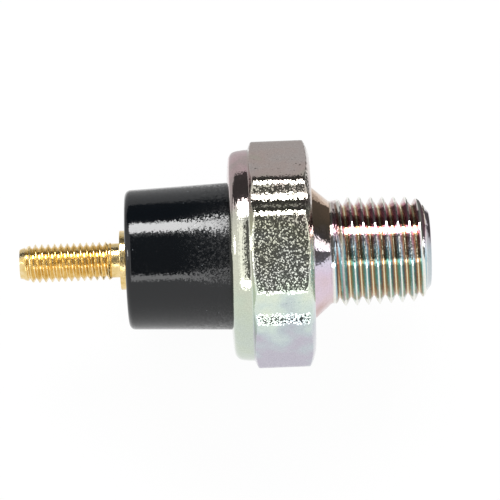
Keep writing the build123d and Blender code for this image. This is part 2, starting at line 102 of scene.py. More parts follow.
def fresh(name):
    """Makes a material with an empty tree, to be built up node by node."""
    made = bpy.data.materials.new(name)
    made.use_nodes = True
    made.node_tree.nodes.clear()
    return made, made.node_tree


print("linear value of mid grey 808080:", round(colour("808080")[0], 3))

# %% [markdown]
# ## Trees of Geometry Nodes
# A thread and a coil spring repeat one form over and over, so trees of Geometry Nodes make them
# from named sizes. A tree is run on an empty object, and what it makes is kept as a plain mesh.

# %% Helpers for trees of Geometry Nodes
def tree_with_sizes(name, sizes):
    """Starts a tree with named inputs, and returns it with the sockets that bring them in."""
    tree = bpy.data.node_groups.new(name, "GeometryNodeTree")
    for size_name, kind in sizes.items():
        tree.interface.new_socket(name=size_name, in_out="INPUT", socket_type=kind)
    tree.interface.new_socket(name="Geometry", in_out="OUTPUT",
                              socket_type="NodeSocketGeometry")
    return tree, add(tree, "NodeGroupInput").outputs


def run_tree(tree, name, sizes):
    """Runs a tree with the given sizes and returns what it makes as a plain mesh."""
    holder = bpy.data.objects.new(name, bpy.data.meshes.new(name))
    bpy.context.scene.collection.objects.link(holder)
    modifier = holder.modifiers.new(name, "NODES")
    modifier.node_group = tree
    for item in tree.interface.items_tree:
        if item.in_out == "INPUT":
            modifier[item.identifier] = sizes[item.name]
    depsgraph = bpy.context.evaluated_depsgraph_get()
    made = bpy.data.meshes.new_from_object(holder.evaluated_get(depsgraph))
    bpy.data.objects.remove(holder)
    print(name, "faces:", len(made.polygons))
    return made


# %% [markdown]
# ## A screw thread
# A thread is a ridge that climbs along the turning as it goes round: one pitch for each turn.
# It could be drawn as a profile swept along a helix, but such a sweep leaves its ends open and
# never joins the turning. Here a grid is rolled into a tube instead. Each row of the grid follows
# the helix, so the rows lie exactly on the corners of crest and root, and both ends flatten out
# into plain rings that join the rest of the turning. One tree makes both threads, the taper
# pipe thread and the stud's. It also keeps the groove's depth and the side of each flank, which
# the zinc's tint and its painted reflection go by.

# %% Names of the thread's sizes
thread_sizes = {
    "Columns": "NodeSocketInt", "Turns": "NodeSocketInt",
    **dict.fromkeys(["Pitch", "First crest", "Depth", "Crest share", "Root share",
                     "Radius at zero", "Taper",
                     "Start", "Start radius", "Start slope", "Start power", "Start fade",
                     "End", "End radius", "End slope", "End power", "End fade"],
                    "NodeSocketFloat"),
    "Material": "NodeSocketMaterial",
}
thread, given = tree_with_sizes("helical_thread", thread_sizes)
print("thread sizes:", len(thread_sizes))

# %% [markdown]
# Eight rows make one turn: two on the crest, two on the root and two between them on each flank.
# The row's number within its turn tells how far along the pitch it lies and how deep it is.

# %% Rows and columns of the thread
ROWS_PER_TURN = 8
row_count = add(thread, "ShaderNodeMath", [given["Turns"], ROWS_PER_TURN], operation="MULTIPLY")
row_total = add(thread, "ShaderNodeMath", [row_count, 1], operation="ADD")
column_total = add(thread, "ShaderNodeMath", [given["Columns"], 1], operation="ADD")
grid = add(thread, "GeometryNodeMeshGrid", [1.0, 1.0, row_total, column_total])
place = add(thread, "ShaderNodeSeparateXYZ", [add(thread, "GeometryNodeInputPosition")])
along = add(thread, "ShaderNodeMath", [place.outputs["X"], 0.5], operation="ADD")
around = add(thread, "ShaderNodeMath", [place.outputs["Y"], 0.5], operation="ADD")
row = add(thread, "ShaderNodeMath",
          [add(thread, "ShaderNodeMath", [along, row_count], operation="MULTIPLY")],
          operation="ROUND")
turn = add(thread, "ShaderNodeMath",
           [add(thread, "ShaderNodeMath",
                [add(thread, "ShaderNodeMath", [row, 0.5], operation="ADD"), ROWS_PER_TURN],
                operation="DIVIDE")],
           operation="FLOOR")
row_in_turn = add(thread, "ShaderNodeMath",
                  [turn, -ROWS_PER_TURN, row], operation="MULTIPLY_ADD")
print("rows in a turn:", ROWS_PER_TURN)

# %% Where each row lies within the pitch, and how deep
both_flats = add(thread, "ShaderNodeMath",
                 [given["Crest share"], given["Root share"]], operation="ADD")
flank = add(thread, "ShaderNodeMath",
            [add(thread, "ShaderNodeMath", [1.0, both_flats], operation="SUBTRACT"), 0.5],
            operation="MULTIPLY")
crest_part = add(thread, "ShaderNodeMapRange",
                 [row_in_turn, 0.0, 1.0, 0.0, given["Crest share"]])
down_part = add(thread, "ShaderNodeMapRange", [row_in_turn, 1.0, 4.0, 0.0, flank])
root_part = add(thread, "ShaderNodeMapRange",
                [row_in_turn, 4.0, 5.0, 0.0, given["Root share"]])
up_part = add(thread, "ShaderNodeMapRange", [row_in_turn, 5.0, 8.0, 0.0, flank])
share = add(thread, "ShaderNodeMath",
            [add(thread, "ShaderNodeMath", [crest_part, down_part], operation="ADD"),
             add(thread, "ShaderNodeMath", [root_part, up_part], operation="ADD")],
            operation="ADD")
deepness = add(thread, "ShaderNodeMath",
               [add(thread, "ShaderNodeMapRange", [row_in_turn, 1.0, 4.0, 0.0, 1.0]),
                add(thread, "ShaderNodeMapRange", [row_in_turn, 5.0, 8.0, 1.0, 0.0])],
               operation="MINIMUM")

# %% [markdown]
# The place along the axis is the turn, the share of the pitch and the angle added up: adding the
# angle is what makes the thread right handed. What would run past an end stays on the end's ring.

# %% Place along the axis
pitches = add(thread, "ShaderNodeMath",
              [add(thread, "ShaderNodeMath", [turn, share], operation="ADD"), around],
              operation="ADD")
helix_x = add(thread, "ShaderNodeMath",
              [pitches, given["Pitch"], given["First crest"]], operation="MULTIPLY_ADD")
axis_x = add(thread, "ShaderNodeClamp", [helix_x, given["Start"], given["End"]])

# %% Radius: the crest line less the groove, and never outside the two bevels
crest_line = add(thread, "ShaderNodeMath",
                 [axis_x, given["Taper"], given["Radius at zero"]], operation="MULTIPLY_ADD")
from_start = add(thread, "ShaderNodeMath", [axis_x, given["Start"]], operation="SUBTRACT")
from_end = add(thread, "ShaderNodeMath", [given["End"], axis_x], operation="SUBTRACT")
bevels, fades = [], []
for end, away in (("Start", from_start), ("End", from_end)):
    rise = add(thread, "ShaderNodeMath", [away, given[end + " power"]], operation="POWER")
    bevels.append(add(thread, "ShaderNodeMath",
                      [rise, given[end + " slope"], given[end + " radius"]],
                      operation="MULTIPLY_ADD"))
    fades.append(add(thread, "ShaderNodeMapRange", [away, 0.0, given[end + " fade"], 0.0, 1.0],
                     interpolation_type="SMOOTHSTEP"))
groove = add(thread, "ShaderNodeMath",
             [add(thread, "ShaderNodeMath", [deepness, given["Depth"]], operation="MULTIPLY"),
              add(thread, "ShaderNodeMath", fades, operation="MULTIPLY")],
             operation="MULTIPLY")
cut = add(thread, "ShaderNodeMath", [crest_line, groove], operation="SUBTRACT")
radius = add(thread, "ShaderNodeMath",
             [cut, add(thread, "ShaderNodeMath", bevels, operation="MINIMUM")],
             operation="MINIMUM")

# %% Roll the grid up, close its seam and give it its material
angle = add(thread, "ShaderNodeMath", [around, 2 * pi], operation="MULTIPLY")
sides = [add(thread, "ShaderNodeMath",
             [radius, add(thread, "ShaderNodeMath", [angle], operation=circle)],
             operation="MULTIPLY") for circle in ("COSINE", "SINE")]
point = add(thread, "ShaderNodeCombineXYZ", [axis_x, *sides])
metres = add(thread, "ShaderNodeVectorMath", {0: point, "Scale": MM}, operation="SCALE")
back_flank = add(thread, "ShaderNodeMapRange", [row_in_turn, 4.0, 5.0, 0.0, 1.0])
kept = grid
for kept_name, value in (("groove_depth", groove), ("back_flank", back_flank)):
    kept = add(thread, "GeometryNodeStoreNamedAttribute",
               {"Geometry": kept, "Name": kept_name, "Value": value},
               data_type="FLOAT", domain="POINT")
rolled = add(thread, "GeometryNodeSetPosition", {"Geometry": kept, "Position": metres})
sealed = add(thread, "GeometryNodeMergeByDistance", {"Geometry": rolled, "Distance": 1e-6})
dressed = add(thread, "GeometryNodeSetMaterial",
              {"Geometry": add(thread, "GeometryNodeRealizeInstances", {"Geometry": sealed}),
               "Material": given["Material"]})
add(thread, "NodeGroupOutput", [dressed])
print("thread nodes:", len(thread.nodes))

# %% [markdown]
# ## Turned surfaces
# A turning is one outline spun round its axis. The hexagon is not round, so here every column of
# points may have an outline of its own. Corners of the outline are softened a little, because a
# real edge is never perfectly sharp and it is the softened edge that catches the light.

# %% Helpers for turned surfaces
COLUMNS = 240
ARC_STEPS = 8
LARGEST_CUT = 0.36  # of the side that a softened corner takes
SMOOTH_UNDER = radians(35)


def soften(outline, cuts, steps=3, guard=1.25):
    """Rounds the outline's corners. Cuts gives, by corner number, how much comes off.
    A guard point outside each round keeps the sides next to it flat in the shading."""
    rounded = []
    for i, corner in enumerate(outline):
        if i not in cuts:
            rounded.append(corner)
            continue
        ends, guards = [], []
        for other in (outline[i - 1], outline[i + 1]):
            length = sqrt((other[0] - corner[0]) ** 2 + (other[1] - corner[1]) ** 2)
            part = min(cuts[i] / length, LARGEST_CUT)
            ends.append([corner[k] + (other[k] - corner[k]) * part for k in (0, 1)])
            guards.append([corner[k] + (other[k] - corner[k]) * part * guard for k in (0, 1)])
        rounded.append(guards[0])
        for step in range(steps + 1):
            t = step / steps
            rounded.append([
                (1 - t) ** 2 * ends[0][k] + 2 * t * (1 - t) * corner[k] + t ** 2 * ends[1][k]
                for k in (0, 1)
            ])
        rounded.append(guards[1])
    return rounded


def skin(built, outlines, angles, end_angles):
    """Adds the surface between neighbouring outlines. Each point is a place and a radius."""
    columns = []
    for outline, inner, outer in zip(outlines, angles, end_angles):
        column = []
        for k, (x, r) in enumerate(outline):
            turned = outer if k in (0, len(outline) - 1) else inner
            column.append(built.verts.new((x * MM, r * cos(turned) * MM, r * sin(turned) * MM)))
        columns.append(column)
    for i, column in enumerate(columns):
        beside = columns[(i + 1) % len(columns)]
        for k in range(len(column) - 1):
            built.faces.new((column[k], column[k + 1], beside[k + 1], beside[k]))


def close(name, built, body, material):
    """Merges what meets, points the faces outwards and makes the piece."""
    bmesh.ops.remove_doubles(built, verts=built.verts, dist=2e-6)
    bmesh.ops.dissolve_degenerate(built, edges=built.edges, dist=1e-6)
    bmesh.ops.recalc_face_normals(built, faces=built.faces)
    open_edges = sum(not edge.is_manifold for edge in built.edges)
    mesh = bpy.data.meshes.new(name)
    built.to_mesh(mesh)
    built.free()
    mesh.materials.clear()  # this also sets the thread's faces back to the first material
    mesh.materials.append(material)
    mesh.shade_smooth()
    mesh.set_sharp_from_angle(angle=SMOOTH_UNDER)
    piece = bpy.data.objects.new(name, mesh)
    bpy.context.scene.collection.objects.link(piece)
    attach(piece, body)
    print(name, "faces:", len(mesh.polygons), "open edges:", open_edges)
    return piece


# %% [markdown]
# ## Finishes
# The materials come before the pieces, because a thread's tree hands its material over. Each
# starts from what the real surface is and how it was made.
#
# A grainy surface sparkles because each grain is a tiny mirror, tilted its own way. Bump from a
# smooth noise only makes it look rippled, so the grains here are the cells of a Voronoi pattern,
# and the random colour of each cell is the way that cell leans.

# %% Facets for grainy surfaces
def facets(tree, size, lean, under):
    """Tilts the normal that comes from under, by up to half of lean, cell by cell."""
    where = add(tree, "ShaderNodeTexCoord").outputs["Object"]
    cells = add(tree, "ShaderNodeTexVoronoi", {"Vector": where, "Scale": 1 / size})
    centred = add(tree, "ShaderNodeVectorMath", {0: cells.outputs["Color"], 1: (0.5, 0.5, 0.5)},
                  operation="SUBTRACT")
    leaning = add(tree, "ShaderNodeVectorMath", {0: centred, "Scale": lean}, operation="SCALE")
    tilted = add(tree, "ShaderNodeVectorMath", [under, leaning], operation="ADD")
    return add(tree, "ShaderNodeVectorMath", [tilted], operation="NORMALIZE")


# %% [markdown]
# Every finish ends in the same way. A cloudy noise sets its roughness, because oil, tarnish and
# handling come in patches, and a finer pattern gives the relief. Only the grainy ones add facets.

# %% The end of every finish
def finish(tree, shade, cloud, rough, relief, strength, depth, facet=None, metallic=1.0):
    """Ends a finish. Rough is two levels of the cloud and the roughness at each of them, depth
    is the relief's in millimetres, and facet is the size and the lean of the facets."""
    roughness = add(tree, "ShaderNodeMapRange", [cloud, *rough])
    normal = add(tree, "ShaderNodeBump",
                 {"Height": relief, "Strength": strength, "Distance": depth * MM})
    if facet:
        normal = facets(tree, *facet, normal)
    shader = add(tree, "ShaderNodeBsdfPrincipled",
                 {"Base Color": shade, "Metallic": metallic, "Roughness": roughness,
                  "Normal": normal})
    add(tree, "ShaderNodeOutputMaterial", {"Surface": shader})


# %% [markdown]
# ### Zinc plate with a clear chromate
# The steel is drawn hexagon bar, turned, then zinc plated and dipped in a chromate. The zinc's
# crystals make a fine grain that sparkles, and the chromate film is so thin that it tints the
# metal like oil on water: rose on one side, sea green and lilac on the other, gold in the roots
# of the thread. The tint is painted by place, in soft bands that noise pushes about, because a
# film that changed with the viewer would be lost in an exported model. The bands follow the side
# that each surface faces, so they are partly the film's colour and partly painted reflection:
# lighter and darker bands where lamps and dark surroundings would be mirrored.

# %% Zinc plate: places on the piece
zinc, tree = fresh("zinc_chromate_and_painted_reflection")
where = add(tree, "ShaderNodeTexCoord").outputs["Object"]
axes = add(tree, "ShaderNodeSeparateXYZ", [where]).outputs
side = add(tree, "ShaderNodeCombineXYZ", {"Y": axes["Y"], "Z": axes["Z"]})
distance = add(tree, "ShaderNodeVectorMath", [side], operation="LENGTH").outputs["Value"]
turned_to = add(tree, "ShaderNodeMath", [axes["Z"], axes["Y"]], operation="ARCTAN2")
CLOUD = 3.8 * MM
cloud = add(tree, "ShaderNodeTexNoise", {"Vector": where, "Scale": 1 / CLOUD, "Detail": 3.0})
wander = add(tree, "ShaderNodeMapRange", [cloud, 0.25, 0.75, -0.3, 0.3])
height = add(tree, "ShaderNodeMath",
             [add(tree, "ShaderNodeMath", [axes["Y"], distance], operation="DIVIDE"), wander],
             operation="ADD")
across = add(tree, "ShaderNodeMapRange", [height, -1.0, 1.0])
print("zinc: tint clouds about", round(CLOUD / MM, 1), "mm")

# %% Zinc plate: tints with painted reflection, from the lower side over the top to the upper
# Each ramp is the chromate's tint with painted reflection in it: its lighter and darker bands
# follow the side each surface faces.
zinc_tint_and_painted_reflection_stops = {
    # The hexagon's ramp is lightest on the lower side near the middle and darker toward the upper
    # side: painted reflection.
    "hexagon": [
        (0.02, "BEBAC6"), (0.14, "C0CACE"), (0.24, "D2E0D8"), (0.36, "E0EAD8"), (0.46, "D2D4CC"),
        (0.62, "C8C8B2"), (0.74, "BEBAAC"), (0.86, "C4B4AE"), (0.97, "C2B8B4")],
    "rim": [
        (0.02, "C6D0C6"), (0.2, "C8D2C0"), (0.4, "D2D4C2"), (0.55, "CCCCBC"), (0.7, "C0C0B4"),
        (0.85, "C4B4B2"), (0.97, "D6BABE")],
    # The cone's ramp is lightest just below the middle, a painted highlight, and dark brown toward
    # the upper side, painted shade.
    "cone": [
        (0.03, "C8AAA8"), (0.14, "DAC4CA"), (0.3, "DCCBDC"), (0.42, "DCD6E6"), (0.52, "B8AEB2"),
        (0.7, "A3917C"), (0.95, "C4A68C")],
    # The flank ramps are lightest across the middle, and the back flank's is lighter than the
    # front's: painted highlights on the flanks.
    "front flank": [
        (0.03, "B0A898"), (0.14, "A2BEC8"), (0.34, "A4C4CE"), (0.45, "C8DCE8"), (0.54, "DCE2EC"),
        (0.68, "D6BECA"), (0.86, "D09AAC"), (0.97, "C6B6B4")],
    "back flank": [
        (0.03, "BCB494"), (0.14, "ACDAC8"), (0.34, "AEDACE"), (0.45, "CCE8EC"), (0.54, "E0ECF0"),
        (0.68, "DCC2CC"), (0.86, "D69EAC"), (0.97, "CDBEBA")],
    "nose": [(0.05, "C2CACE"), (0.45, "B6C2C8"), (0.8, "A79AA4")],
}
tint_and_painted_reflection = {part: add(tree, "ShaderNodeValToRGB", [across], stops=stops)
        for part, stops in zinc_tint_and_painted_reflection_stops.items()}
back_flank = add(tree, "ShaderNodeAttribute", attribute_name="back_flank").outputs["Fac"]
# The back flanks take the lighter ramp, with its painted highlights.
flank_tint_and_painted_reflection = add(tree, "ShaderNodeMix",
                 {"Factor": back_flank, "A": tint_and_painted_reflection["front flank"], "B": tint_and_painted_reflection["back flank"]},
                 data_type="RGBA")
print("zinc: tints", len(tint_and_painted_reflection))

# %% Zinc plate: which tint, with its painted reflection, belongs where along the axis
groove_depth = add(tree, "ShaderNodeAttribute", attribute_name="groove_depth").outputs["Fac"]
depth_share = add(tree, "ShaderNodeMapRange", {"Value": groove_depth, "From Max": 1.03})
on_flank = add(tree, "ShaderNodeValToRGB", [depth_share], stops=[
    (0.08, "000000"), (0.24, "FFFFFF"), (0.66, "FFFFFF"), (0.82, "000000")])
crest_or_root = add(tree, "ShaderNodeValToRGB", [depth_share], stops=[
    (0.3, "EEEEE6"), (0.62, "C8A49A"), (0.84, "C49888"), (0.97, "E6DCC0")])
thread_tint_and_painted_reflection = add(tree, "ShaderNodeMix",
                  {"Factor": on_flank, "A": crest_or_root, "B": flank_tint_and_painted_reflection}, data_type="RGBA")
base, past = tint_and_painted_reflection["rim"], {}
for part, from_x, to_x, beyond in (("rim", -7.75, -7.55, tint_and_painted_reflection["hexagon"]),
                                   ("hexagon", -0.05, 0.05, tint_and_painted_reflection["cone"]),
                                   ("neck", 2.2, 2.5, thread_tint_and_painted_reflection),
                                   ("thread", 13.9, 14.1, tint_and_painted_reflection["nose"])):
    past[part] = add(tree, "ShaderNodeMapRange", [axes["X"], from_x * MM, to_x * MM])
    base = add(tree, "ShaderNodeMix", {"Factor": past[part], "A": base, "B": beyond},
               data_type="RGBA")
print("zinc: tint changes past", ", ".join(past))

# %% [markdown]
# The grain of the real zinc is about 0.05 mm, too fine to show at this size, so it is drawn
# three times as coarse, as leaning facets. On the hexagon's drawn flats it is strongest. The
# turned faces carry tool lines instead, which run round the axis: noise stretched along the
# angle makes them. Each crystal also takes the plating and the chromate a little differently,
# so a grain of the same size darkens the colour.

# %% Zinc plate: grain and tool lines
GRAIN = 0.15 * MM
grain = add(tree, "ShaderNodeTexNoise", {"Vector": where, "Scale": 1 / GRAIN, "Detail": 1.5,
                                         "Roughness": 0.6})
TOOL_LINE = 0.2 * MM
RADIAN_LENGTH = 1.2 * MM  # far shorter than the real arc, which stretches the lines along it
along_arc = add(tree, "ShaderNodeMath", [turned_to, RADIAN_LENGTH], operation="MULTIPLY")
line_place = add(tree, "ShaderNodeCombineXYZ", [axes["X"], along_arc, distance])
tool_lines = add(tree, "ShaderNodeTexNoise",
                 {"Vector": line_place, "Scale": 1 / TOOL_LINE, "Detail": 2.0})
# Only the drawn flats and corners lie this far from the axis.
far_out = add(tree, "ShaderNodeMapRange", [distance, 13.2 * MM, 13.45 * MM])
on_drawn = add(tree, "ShaderNodeMath",
               [far_out, add(tree, "ShaderNodeMath", [1.0, past["hexagon"]], operation="SUBTRACT")],
               operation="MULTIPLY")
lean = add(tree, "ShaderNodeMapRange", {"Value": on_drawn, "To Min": 0.06, "To Max": 0.23})
line_share = add(tree, "ShaderNodeMapRange", {"Value": on_drawn, "To Min": 0.25, "To Max": 0.0})
relief = add(tree, "ShaderNodeMath",
             [grain, 0.05,
              add(tree, "ShaderNodeMath", [tool_lines, line_share], operation="MULTIPLY")],
             operation="MULTIPLY_ADD")
dark_grain = add(tree, "ShaderNodeMapRange", [grain, 0.36, 0.64, 0.9, 1.04])
metal = add(tree, "ShaderNodeMix", {"Factor": 1.0, "A": base, "B": dark_grain},
            data_type="RGBA", blend_type="MULTIPLY")
finish(tree, metal, cloud, (0.3, 0.7, 0.05, 0.08), relief, 1.0, 0.045, facet=(GRAIN, lean))
print("zinc: grain drawn", round(GRAIN / MM, 2), "mm")

# %% [markdown]
# ### Turned brass
# Free cutting brass straight off the lathe: a warm yellow mirror with fine tool lines, a little
# browner where hands and air have reached it.

# %% Turned brass
brass, tree = fresh("turned_yellow_brass")
BRASS_CLOUD = 0.9 * MM
BRASS_LINE = 0.16 * MM
where = add(tree, "ShaderNodeTexCoord").outputs["Object"]
cloud = add(tree, "ShaderNodeTexNoise", {"Vector": where, "Scale": 1 / BRASS_CLOUD, "Detail": 4.0})
gold = add(tree, "ShaderNodeValToRGB", [cloud], stops=[
    (0.3, "DBBC74"), (0.5, "ECD194"), (0.7, "F3E0B2")])
fine = add(tree, "ShaderNodeTexNoise", {"Vector": where, "Scale": 1 / BRASS_LINE, "Detail": 2.0})
finish(tree, gold, cloud, (0.3, 0.7, 0.22, 0.13), fine, 0.8, 0.025, facet=(BRASS_LINE, 0.07))
print("brass: darker clouds about", round(BRASS_CLOUD / MM, 1), "mm")

# %% [markdown]
# ## The housing
# One steel turning: hexagon, crowned face, cone, taper pipe thread and rolled rim.
# The hexagon's outline is worked out once for each column: the flat, the small round at its
# edge, and the shallow hollow milled along the corner.

# %% The hexagon's outline
flat_distance = 13.495
hollow_radius = 3.0
hollow_lift = 0.03  # how far the hollow's floor stands above the flats
hollow_distance = flat_distance + hollow_lift + hollow_radius
edge_round = 2.1
hollow_y = hollow_distance * sin(radians(30))
hollow_z = hollow_distance * cos(radians(30))
round_z = flat_distance - edge_round
round_y = hollow_y - sqrt((hollow_radius + edge_round) ** 2 - (hollow_z - round_z) ** 2)
reach = edge_round / (hollow_radius + edge_round)
flat_end = asin(round_y / sqrt(round_y ** 2 + flat_distance ** 2))
hollow_start_y = round_y + (hollow_y - round_y) * reach
hollow_start_z = round_z + (hollow_z - round_z) * reach
hollow_start = asin(hollow_start_y / sqrt(hollow_start_y ** 2 + hollow_start_z ** 2))


def hexagon_radius(off):
    """Distance from the axis to the hexagon, at an angle from the middle of a flat."""
    off = abs(off)
    if off <= flat_end:
        return flat_distance / cos(off)
    if off < hollow_start:
        ahead = round_y * sin(off) + round_z * cos(off)
        aside = round_y * cos(off) - round_z * sin(off)
        return ahead + sqrt(edge_round ** 2 - aside ** 2)
    from_corner = radians(30) - off
    ahead = hollow_distance * cos(from_corner)
    return ahead - sqrt(hollow_radius ** 2 - (hollow_distance * sin(from_corner)) ** 2)


half = [flat_end * part for part in (0.0, 0.5, 0.8, 0.97)]
half += [flat_end + (hollow_start - flat_end) * i / ARC_STEPS for i in range(ARC_STEPS)]
half += [hollow_start + (radians(30) - hollow_start) * i / ARC_STEPS
         for i in range(ARC_STEPS + 1)]
offs = [-a for a in reversed(half[1:])] + half[:-1]
hexagon_angles = [radians(60 * side + 30) + off for side in range(6) for off in offs]
hexagon_radii = [hexagon_radius(off) for side in range(6) for off in offs]
print("columns:", len(hexagon_angles), "largest radius:", round(max(hexagon_radii), 2))

# %% The housing's outline, one for each column
neck_x, neck_radius = 2.23, 6.38
hex_back_x, rim_radius = -7.6, 13.12
rim_face_x, lip_radius, lip_x = -10.27, 9.25, -9.3
face_rise = 0.24  # how far the rim's face domes beyond its rounded edge
crown_x, crown_r, crown_round = -5.902, 11.018, 6.0
edge_radius, edge_turn = 1.1, radians(80)
crown_turn = radians(11.5)
edge_x = rim_face_x + face_rise + edge_radius * (sin(edge_turn) - sin(crown_turn))
rim_bow = (hex_back_x - edge_x) / sin(crown_turn)
edge_r = rim_radius - rim_bow * (1 - cos(crown_turn))
cone_radius, face_radius, corner_radius = 8.3, 12.1, 14.45
back_bevel = radians(22)
cup_radius, cup_floor_x, well_radius, well_floor_x = 11.2, -2.5, 8.4, -1.8
port_radius, port_bevel = 1.6, 0.5
nose_x, nose_face_radius = 14.6, 4.56
thread_end_x, thread_end_radius = 14.0, 5.3


def housing_outline(hexagon):
    """From the cone's foot over the hexagon and the rim, through the inside, to the nose."""
    top = min(hexagon, corner_radius)
    outline = [(neck_x, neck_radius), (0, cone_radius), (0, face_radius)]
    first = asin((face_radius - crown_r) / crown_round)
    last = asin((top - crown_r) / crown_round)
    for step in range(1, ARC_STEPS + 1):
        bow = first + (last - first) * step / ARC_STEPS
        outline.append((crown_x + crown_round * cos(bow), crown_r + crown_round * sin(bow)))
    outline.append((hex_back_x + (top - rim_radius) * tan(back_bevel), top))
    outline.append((hex_back_x, rim_radius))
    for step in range(1, 4):
        bow = crown_turn * step / 4
        outline.append((hex_back_x - rim_bow * sin(bow),
                        rim_radius - rim_bow * (1 - cos(bow))))
    for step in range(ARC_STEPS + 1):
        bow = crown_turn + (edge_turn - crown_turn) * step / ARC_STEPS
        outline.append((edge_x - edge_radius * (sin(bow) - sin(crown_turn)),
                        edge_r - edge_radius * (cos(crown_turn) - cos(bow))))
    start_x, start_r = outline[-1]
    lean = (sin(edge_turn), -cos(edge_turn))
    run = (rim_face_x - start_x, lip_radius - start_r)
    dome = (run[0] ** 2 + run[1] ** 2) / (2 * (run[0] * lean[0] + run[1] * lean[1]))
    full = 2 * asin(sqrt(run[0] ** 2 + run[1] ** 2) / 2 / dome)
    for step in range(1, ARC_STEPS + 1):
        bow = edge_turn + full * step / ARC_STEPS
        outline.append((start_x + dome * (lean[0] - sin(bow)),
                        start_r + dome * (lean[1] + cos(bow))))
    outline += [
        (lip_x, lip_radius), (lip_x, cup_radius), (cup_floor_x, cup_radius),
        (cup_floor_x, well_radius), (well_floor_x, well_radius), (well_floor_x, port_radius),
        (nose_x - port_bevel, port_radius), (nose_x, port_radius + port_bevel),
        (nose_x, nose_face_radius), (thread_end_x, thread_end_radius),
    ]
    # Softened: the flat face's two ends, the hexagon's front and back, the rim's foot, the lip
    # and the nose.
    return soften(outline, {1: 0.25, 2: 0.12, 10: 0.2, 11: 0.2, 12: 0.15, 32: 0.15, 41: 0.15})


# %% Build the housing
PIPE_PITCH = 1.411
pipe_thread = run_tree(thread, "pipe_thread", {
    "Columns": COLUMNS, "Turns": 10, "Pitch": PIPE_PITCH, "First crest": 4.58 - 3 * PIPE_PITCH,
    "Depth": 1.05, "Crest share": 0.11, "Root share": 0.08,
    "Radius at zero": 6.93, "Taper": -1 / 32,
    "Start": neck_x, "Start radius": neck_radius, "Start slope": 0.134, "Start power": 2.0,
    "Start fade": 1.0,
    "End": thread_end_x, "End radius": thread_end_radius, "End slope": 1.03, "End power": 0.45,
    "End fade": 0.001, "Material": zinc,
})
built = bmesh.new()
built.from_mesh(pipe_thread)
even_angles = [2 * pi * i / COLUMNS for i in range(COLUMNS)]
skin(built, [housing_outline(r) for r in hexagon_radii], hexagon_angles, even_angles)
housing = close("plated_housing", built, "sender_body", zinc)
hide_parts("housing")

# %% [markdown]
# ## The terminal stud
# A brass turning: point, number 10 thread, shank, collar, and the tail that is peened over
# inside the cap. It is made as the housing is, with every column the same.

# %% Build the stud
STUD_PITCH = 0.794
shank_length, thread_length = 1.05, 11.4
collar_x, cap_front_x = -23.848, -22.998
shoulder_x, head_x, tail_end_x = -20.398, -19.598, -19.098
shank_end_x = collar_x - shank_length
tip_x = shank_end_x - thread_length
stud_radius, shank_radius, point_radius = 2.39, 2.13, 1.8
collar_radius, tail_radius, head_radius = 3.68, 1.4, 2.0
relief_radius, relief_depth = 2.44, 0.1
stud_thread = run_tree(thread, "stud_thread", {
    "Columns": COLUMNS, "Turns": 17, "Pitch": STUD_PITCH,
    "First crest": -34.38 - 4 * STUD_PITCH,
    "Depth": 0.5, "Crest share": 0.08, "Root share": 0.14,
    "Radius at zero": stud_radius, "Taper": 0.0,
    "Start": tip_x, "Start radius": point_radius, "Start slope": 0.59 / 1.6, "Start power": 1.0,
    "Start fade": 0.001,
    "End": shank_end_x, "End radius": shank_radius, "End slope": 0.26 / 0.3, "End power": 1.0,
    "End fade": 0.7,
    "Material": brass,
})
built = bmesh.new()
built.from_mesh(stud_thread)
point_end = [(tip_x, 0.0), (tip_x, point_radius)]
# Softened: the relief's edge, the collar's two edges and the peened head.
tail = soften([
    (shank_end_x, shank_radius), (collar_x + relief_depth, shank_radius),
    (collar_x + relief_depth, relief_radius), (collar_x, relief_radius),
    (collar_x, collar_radius), (cap_front_x, collar_radius), (cap_front_x, shank_radius),
    (shoulder_x, shank_radius), (shoulder_x, tail_radius), (head_x, tail_radius),
    (head_x, head_radius), (tail_end_x, tail_radius), (tail_end_x, 0.0),
], {3: 0.04, 4: 0.07, 5: 0.07, 10: 0.1, 11: 0.15})
skin(built, [point_end] * COLUMNS, even_angles, even_angles)
skin(built, [tail] * COLUMNS, even_angles, even_angles)
stud = close("threaded_stud", built, "sender_body", brass)
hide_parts("terminal_stud")

# %% [markdown]
# ### Moulded phenolic
# The cap is pressed from black phenolic in a polished mould, so it shines, but the filler in the
# resin leaves a fine grain that breaks the edges of each reflection. Toward the rim, where the
# press and hands have held it, it is duller. A few specks of dust lie on it.

# %% Moulded phenolic
phenolic, tree = fresh("moulded_black_phenolic")
FILLER = 0.2 * MM
FILLER_FACET = 0.17 * MM
DUST_GAP, HANDLED_PATCH = 1.6 * MM, 1.1 * MM
where = add(tree, "ShaderNodeTexCoord").outputs["Object"]
filler = add(tree, "ShaderNodeTexNoise", {"Vector": where, "Scale": 1 / FILLER, "Detail": 3.0})
dust = add(tree, "ShaderNodeTexVoronoi", {"Vector": where, "Scale": 1 / DUST_GAP})
speck = add(tree, "ShaderNodeMapRange", [dust, 0.035, 0.05, 1.0, 0.0])
resin = add(tree, "ShaderNodeMix",
            {"Factor": speck, "A": colour("04070B"), "B": colour("6A6E72")}, data_type="RGBA")
handled = add(tree, "ShaderNodeTexNoise",
              {"Vector": where, "Scale": 1 / HANDLED_PATCH, "Detail": 4.0})
along_axis = add(tree, "ShaderNodeSeparateXYZ", [where]).outputs["X"]
near_rim = add(tree, "ShaderNodeMapRange", [along_axis, -17 * MM, -10 * MM])
duller = add(tree, "ShaderNodeMath", [near_rim, handled], operation="MULTIPLY")
grain_lean = add(tree, "ShaderNodeMapRange", {"Value": near_rim, "To Min": 0.045, "To Max": 0.2})
finish(tree, resin, duller, (0.0, 0.6, 0.07, 0.26), filler, 0.3, 0.012,
       facet=(FILLER_FACET, grain_lean), metallic=0.0)
print("phenolic: filler grain", round(FILLER / MM, 2), "mm")

# %% [markdown]
# ### Cold rolled steel
# Inside, the plate, the spacer ring, the bracket and the lever are stamped from cold rolled
# strip. The rolls leave faint straight lines, and press oil dulls the strip in soft clouds. The
# lines are noise stretched along Z, the way the strip ran through the rolls.

